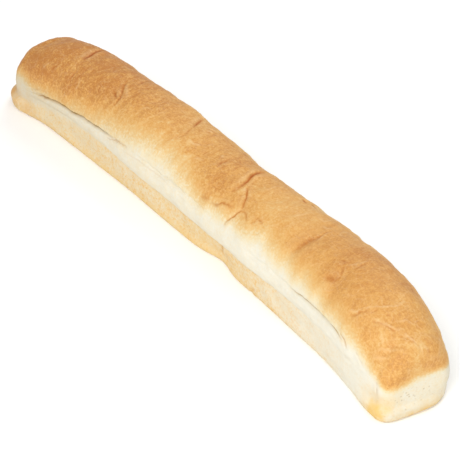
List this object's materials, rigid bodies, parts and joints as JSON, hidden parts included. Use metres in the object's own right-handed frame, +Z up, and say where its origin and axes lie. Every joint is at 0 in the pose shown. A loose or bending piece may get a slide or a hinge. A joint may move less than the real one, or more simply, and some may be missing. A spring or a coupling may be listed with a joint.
{
  "type": "baguette",
  "caption": "Soft white stick loaf with a rounded golden-brown top, pale sides torn along a fold, slightly bent, and a flat sole to rest on.",
  "frame": {"origin": "middle of the bounding box, on the plane of the flat sole that the loaf rests on", "axes": "+X along the loaf from its far, rounder end to its near, blunt end; +Y across it, away from the picture's camera; +Z up"},
  "size_m": [0.5203, 0.0964, 0.0697],
  "materials": {
    "crust": "matte baked crust, golden brown on top, cream at the sides and golden at the foot"
  },
  "bodies": {
    "root": {"loaf": "crust"}
  },
  "joints": []
}
